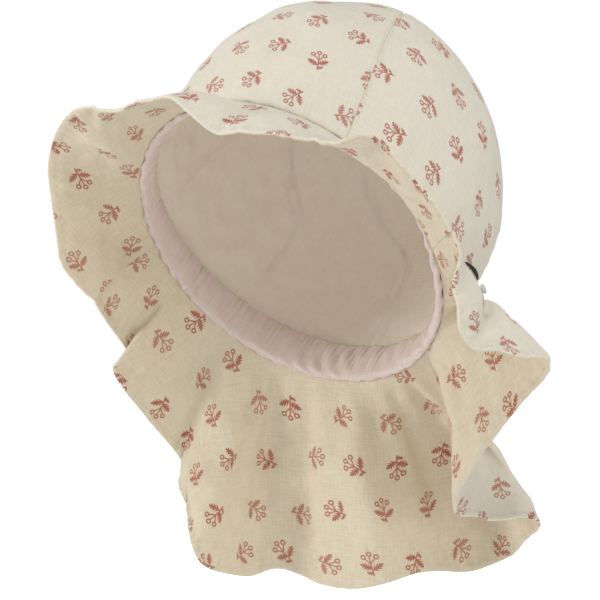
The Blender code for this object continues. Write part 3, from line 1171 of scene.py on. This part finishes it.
def plain_finish(name: str, colour: Colour, roughness: float, grain: float) -> Material:
    """A plain material with a fine grain in its colour and surface."""
    material, shader = new_shader(name, roughness)
    tree = material.node_tree
    place = tree.nodes.new("ShaderNodeTexCoord")
    speck = tree.nodes.new("ShaderNodeTexNoise")
    speck.inputs["Scale"].default_value = 2500.0
    tree.links.new(place.outputs["Object"], speck.inputs["Vector"])
    low = tuple(part * (1 - grain) for part in colour)
    mixed = mix_colours(tree, Value(tree, speck.outputs["Fac"]), low, colour)
    tree.links.new(mixed, shader.inputs["Base Color"])
    tree.links.new(add_bump(tree, speck.outputs["Fac"], 0.00005), shader.inputs["Normal"])
    return material


def make_finishes() -> Finishes:
    """Make every material of the hat."""
    groups = {"print": sprig_print_group(), "weave": weave_group(), "handling": handling_group()}
    cream, deep, ink = (0.80, 0.745, 0.63), (0.73, 0.67, 0.55), (0.42, 0.10, 0.06)
    # The underside's colours are darker and warmer than the outer face's: painted shade, with a painted warm
    # glow of light through the cloth.
    shaded_cream_under, shaded_deep_under = (0.79, 0.70, 0.535), (0.69, 0.59, 0.43)
    return Finishes(
        printed=CottonFinish("Printed cotton", cream, deep, ink=ink, ghost=0.05).build(groups),
        printed_under_shaded=CottonFinish(
            "Printed cotton underside, painted shade", shaded_cream_under, shaded_deep_under, ink=ink, ghost=0.08, seed=9.0
        ).build(groups),
        # The lining's colour is raised close to white as painted light, standing in for light shining through
        # the thin crown.
        lining=CottonFinish("Lining cotton", (0.96, 0.88, 0.775), (0.90, 0.81, 0.70)).build(groups),
        band=CottonFinish("Band cotton", (0.82, 0.70, 0.64), (0.74, 0.61, 0.555)).build(groups),
        thread=plain_finish("Cream thread", (0.80, 0.73, 0.58), 0.8, 0.2),
        # The near-black sliver on the crown's side.
        sliver=plain_finish("Near-black sliver", (0.022, 0.017, 0.014), 0.85, 0.5),
        plastic=plain_finish("Pale plastic", (0.55, 0.57, 0.54), 0.35, 0.05),
    )


class Lamp(NamedTuple):
    """A soft square light that faces the hat, placed in degrees and metres."""

    name: str
    azimuth: float
    elevation: float
    distance: float
    size: float
    power: float
    tint: Colour = (1.0, 1.0, 1.0)


LAMPS = (
    Lamp("key", 35, 50, 1.3, 0.6, 6.0),
    Lamp("side", -45, 5, 1.4, 0.4, 6.5),
    Lamp("fill", 30, -30, 1.4, 0.7, 8.5, (1.0, 0.88, 0.74)),
    Lamp("near", 85, -5, 1.4, 0.5, 3.0),
)


def toward(azimuth: float, elevation: float) -> Vector:
    """The direction of a light or camera from the hat."""
    a, e = math.radians(azimuth), math.radians(elevation)
    return Vector((math.sin(a) * math.cos(e), -math.cos(a) * math.cos(e), math.sin(e)))


def camera_rays(tree: NodeTree) -> Value:
    """1 on rays straight from the camera and 0 on all others."""
    return Value(tree, tree.nodes.new("ShaderNodeLightPath").outputs["Is Camera Ray"])


def add_item(name: str, data: ID, place: Vector, aim: Vector) -> Object:
    """Add a light or camera at a place, turned to its aim."""
    item = bpy.data.objects.new(name, data)
    item.location = place
    item.rotation_euler = (item.location - aim).to_track_quat("Z", "Y").to_euler()
    bpy.context.scene.collection.objects.link(item)
    return item


@dataclass
class Studio:
    """A pale floor, soft light and the camera."""

    floor_height: float = -0.36
    floor_size: float = 14.0
    floor_glow: float = 1.2
    ambient: float = 0.52
    distance: float = 1.5
    azimuth: float = 33.64
    elevation: float = -0.57
    view_width: float = 0.283
    aim_right: float = 0.0042
    aim_down: float = 0.0264

    def build(self) -> None:
        """Make the floor, the lights and the camera."""
        bpy.ops.object.select_all(action="DESELECT")
        bpy.ops.mesh.primitive_plane_add(size=self.floor_size, location=(0, 0, self.floor_height))
        floor = bpy.context.active_object
        floor.name = "floor"
        paint = plain_finish("Pale floor", (0.95, 0.95, 0.95), 0.9, 0.01)
        shader = paint.node_tree.nodes["Principled BSDF"]
        shader.inputs["Emission Color"].default_value = (1.0, 1.0, 1.0, 1.0)
        (camera_rays(paint.node_tree) * self.floor_glow).plug(shader.inputs["Emission Strength"])
        floor.data.materials.append(paint)
        world = bpy.data.worlds.new("Pale surround")
        world.use_nodes = True
        background = world.node_tree.nodes["Background"]
        strength = camera_rays(world.node_tree) * (1.0 - self.ambient) + self.ambient
        strength.plug(background.inputs["Strength"])
        background.inputs["Color"].default_value = (1.0, 1.0, 1.0, 1.0)
        bpy.context.scene.world = world
        bpy.context.scene.view_settings.view_transform = "Standard"
        for lamp in LAMPS:
            light = bpy.data.lights.new(lamp.name, "AREA")
            light.energy = lamp.power
            light.color = lamp.tint
            light.size = lamp.size
            add_item(lamp.name, light, toward(lamp.azimuth, lamp.elevation) * lamp.distance, Vector())
        self.camera()

    def camera(self) -> None:
        """Add the camera at the photograph's angle, a little below the hat's middle."""
        away = toward(self.azimuth, self.elevation)
        right = Vector((0, 0, 1)).cross(away).normalized()
        aim = right * self.aim_right - Vector((0, 0, self.aim_down))
        lens = bpy.data.cameras.new("camera")
        lens.sensor_width = 36.0
        lens.lens = lens.sensor_width * self.distance / self.view_width
        bpy.context.scene.camera = add_item("camera", lens, away * self.distance, aim)


def main() -> None:
    """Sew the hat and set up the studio."""
    logging.basicConfig(level=logging.INFO, format="%(name)s: %(message)s")
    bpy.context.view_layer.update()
    form = HatForm()
    finishes = make_finishes()
    for group in (Crown, Lining, Sweatband, Skirt, Trim):
        group(form).build(finishes)
    Studio().build()


if __name__ == "__main__":
    main()
